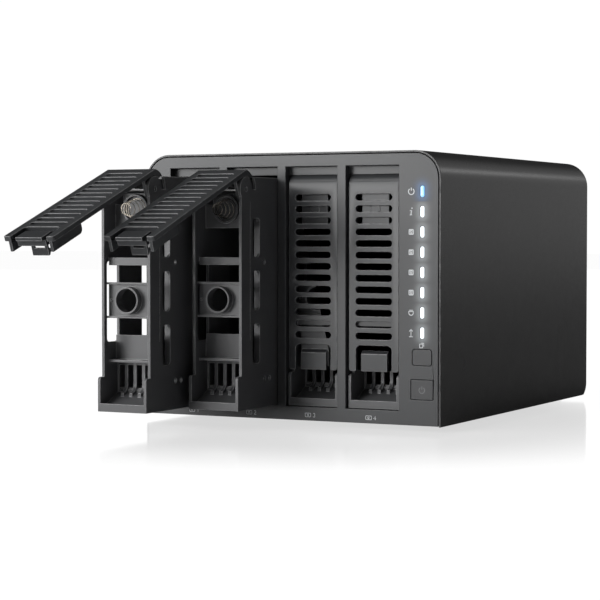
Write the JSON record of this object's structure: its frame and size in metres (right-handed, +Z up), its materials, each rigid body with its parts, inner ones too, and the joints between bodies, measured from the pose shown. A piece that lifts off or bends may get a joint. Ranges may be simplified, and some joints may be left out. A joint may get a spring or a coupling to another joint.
{
  "type": "network attached storage",
  "caption": "Desktop network storage box with a row of pull-out drive trays behind slotted hinged handles, a status light column and rear fan and ports.",
  "frame": {"origin": "on the surface the feet stand on, under the middle of the object's bounding box at rest", "axes": "+X to the right seen from the front, +Y from the front to the back, +Z up"},
  "size_m": [0.206, 0.46, 0.17],
  "materials": {
    "cover_steel": "fine matt black powder coat on steel",
    "zinc_screw": "zinc-plated steel",
    "frame_steel": "matt black painted steel",
    "foot_rubber": "moulded rubber",
    "bezel_plastic": "satin dark grey moulded plastic",
    "light_plastic": "clear white light pipe",
    "button_plastic": "satin dark grey plastic",
    "circuit_board": "green solder mask on glass-fibre board",
    "black_plastic": "black moulded plastic",
    "brass_post": "turned brass",
    "chip": "black moulded chip package",
    "heatsink_alloy": "extruded aluminium",
    "port_metal": "plated sheet shell",
    "copper_winding": "lacquered copper winding",
    "guard_wire": "bright plated wire",
    "tray_plastic": "satin black moulded plastic",
    "pin_steel": "ground steel pin",
    "spring_steel": "plated spring wire",
    "handle_plastic": "satin dark grey moulded plastic",
    "latch_plastic": "satin dark grey moulded plastic"
  },
  "bodies": {
    "chassis": {"outer_cover": "cover_steel", "cover_screws": "zinc_screw", "base_chassis": "frame_steel", "feet": "foot_rubber", "front_bezel": "bezel_plastic", "light_pipes": "light_plastic", "light_board": "circuit_board", "indicator_leds": "light_plastic", "button_switches": "black_plastic", "cage_walls": "frame_steel", "cage_floor": "frame_steel", "cage_roof": "frame_steel", "cage_posts": "zinc_screw", "guide_rails": "black_plastic", "backplane_board": "circuit_board", "drive_connectors": "black_plastic", "board_connector": "black_plastic", "mainboard": "circuit_board", "board_standoffs": "brass_post", "board_screws": "zinc_screw", "processor": "chip", "heatsink": "heatsink_alloy", "memory_socket": "black_plastic", "memory_module": "circuit_board", "lan_port": "port_metal", "usb_ports": "port_metal", "dc_jack": "black_plastic", "reset_switch": "black_plastic", "rear_panel": "frame_steel", "fan_frame": "black_plastic", "fan_stator": "copper_winding", "fan_guard": "guard_wire", "fan_screws": "zinc_screw"},
    "copy_button": {"copy_button": "button_plastic"},
    "power_button": {"power_button": "button_plastic"},
    "reset_button": {"reset_button": "black_plastic"},
    "fan_rotor": {"fan_rotor": "black_plastic"},
    "tray_1": {"tray_frame_1": "tray_plastic", "hinge_pin_1": "pin_steel", "handle_spring_1": "spring_steel"},
    "handle_1": {"handle_1": "handle_plastic"},
    "latch_1": {"latch_1": "latch_plastic"},
    "tray_2": {"tray_frame_2": "tray_plastic", "hinge_pin_2": "pin_steel", "handle_spring_2": "spring_steel"},
    "handle_2": {"handle_2": "handle_plastic"},
    "latch_2": {"latch_2": "latch_plastic"},
    "tray_3": {"tray_frame_3": "tray_plastic", "hinge_pin_3": "pin_steel", "handle_spring_3": "spring_steel"},
    "handle_3": {"handle_3": "handle_plastic"},
    "latch_3": {"latch_3": "latch_plastic"},
    "tray_4": {"tray_frame_4": "tray_plastic", "hinge_pin_4": "pin_steel", "handle_spring_4": "spring_steel"},
    "handle_4": {"handle_4": "handle_plastic"},
    "latch_4": {"latch_4": "latch_plastic"}
  },
  "joints": [
    {"name": "tray_slide_1", "type": "slide", "parent": "chassis", "child": "tray_1", "axis": [0, -1, 0], "range_m": [-0.0906, 0.0594]},
    {"name": "handle_hinge_1", "type": "hinge", "parent": "tray_1", "child": "handle_1", "pos_m": [-0.06675, -0.12175, 0.1465], "axis": [-1, 0, 0], "range_deg": [-69.7, 0], "deforming": ["handle_spring_1"]},
    {"name": "latch_slide_1", "type": "slide", "parent": "handle_1", "child": "latch_1", "axis": [0, 0.9379, 0.3469], "range_m": [0, 0.003], "stiffness_N_per_m": 150},
    {"name": "tray_slide_2", "type": "slide", "parent": "chassis", "child": "tray_2", "axis": [0, -1, 0], "range_m": [-0.0526, 0.0974]},
    {"name": "handle_hinge_2", "type": "hinge", "parent": "tray_2", "child": "handle_2", "pos_m": [-0.0253, -0.08375, 0.1465], "axis": [-1, 0, 0], "range_deg": [-69.7, 0], "deforming": ["handle_spring_2"]},
    {"name": "latch_slide_2", "type": "slide", "parent": "handle_2", "child": "latch_2", "axis": [0, 0.9379, 0.3469], "range_m": [0, 0.003], "stiffness_N_per_m": 150},
    {"name": "tray_slide_3", "type": "slide", "parent": "chassis", "child": "tray_3", "axis": [0, -1, 0], "range_m": [0, 0.15]},
    {"name": "handle_hinge_3", "type": "hinge", "parent": "tray_3", "child": "handle_3", "pos_m": [0.01615, -0.03115, 0.1465], "axis": [-1, 0, 0], "range_deg": [0, 69.7], "deforming": ["handle_spring_3"]},
    {"name": "latch_slide_3", "type": "slide", "parent": "handle_3", "child": "latch_3", "axis": [0, 0, 1], "range_m": [0, 0.003], "stiffness_N_per_m": 150},
    {"name": "tray_slide_4", "type": "slide", "parent": "chassis", "child": "tray_4", "axis": [0, -1, 0], "range_m": [0, 0.15]},
    {"name": "handle_hinge_4", "type": "hinge", "parent": "tray_4", "child": "handle_4", "pos_m": [0.0576, -0.03115, 0.1465], "axis": [-1, 0, 0], "range_deg": [0, 69.7], "deforming": ["handle_spring_4"]},
    {"name": "latch_slide_4", "type": "slide", "parent": "handle_4", "child": "latch_4", "axis": [0, 0, 1], "range_m": [0, 0.003], "stiffness_N_per_m": 150},
    {"name": "fan_spin", "type": "hinge", "parent": "chassis", "child": "fan_rotor", "pos_m": [-0.024, 0.21145, 0.088], "axis": [0, 1, 0], "continuous": true},
    {"name": "copy_press", "type": "slide", "parent": "chassis", "child": "copy_button", "axis": [0, 1, 0], "range_m": [0, 0.0008], "stiffness_N_per_m": 400},
    {"name": "power_press", "type": "slide", "parent": "chassis", "child": "power_button", "axis": [0, 1, 0], "range_m": [0, 0.0008], "stiffness_N_per_m": 400},
    {"name": "reset_press", "type": "slide", "parent": "chassis", "child": "reset_button", "axis": [0, 1, 0], "range_m": [0, 0.0005], "stiffness_N_per_m": 300}
  ]
}
